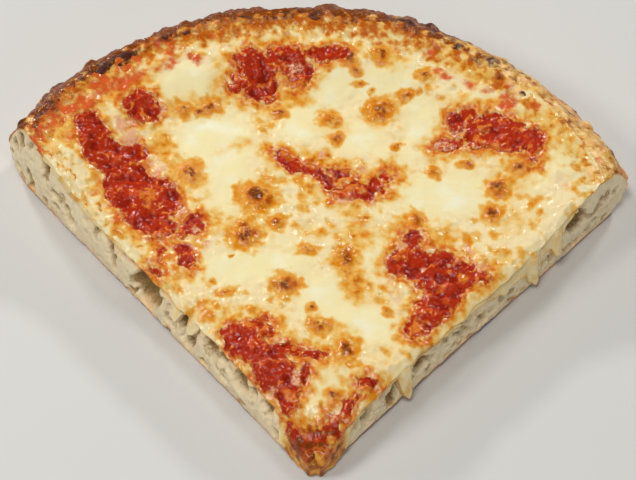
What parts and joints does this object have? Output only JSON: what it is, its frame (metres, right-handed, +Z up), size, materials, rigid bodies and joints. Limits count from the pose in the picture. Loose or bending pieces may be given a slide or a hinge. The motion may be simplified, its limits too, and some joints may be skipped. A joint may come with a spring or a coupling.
{
  "type": "margherita pizza slice",
  "caption": "Hand-cut quarter of a thick pan pizza, with an open-crumbed browned crust, tomato sauce and melted mozzarella with browned blisters.",
  "frame": {"origin": "middle of the slice's bounding box, at the height of its flat foot", "axes": "+Z up, +Y from the pointed tip towards the rim, +X to the right along the rim when looking from the tip"},
  "size_m": [0.1926, 0.1698, 0.0285],
  "materials": {
    "crust": "baked bread: browned and partly charred rim, pale open crumb on the two cut faces",
    "tomato_sauce": "thick tomato sauce, wet and lumpy",
    "mozzarella": "melted mozzarella: cream pools, browned blisters, a greasy sheen"
  },
  "bodies": {
    "root": {"crust": "crust", "tomato_sauce": "tomato_sauce", "mozzarella": "mozzarella"}
  },
  "joints": []
}
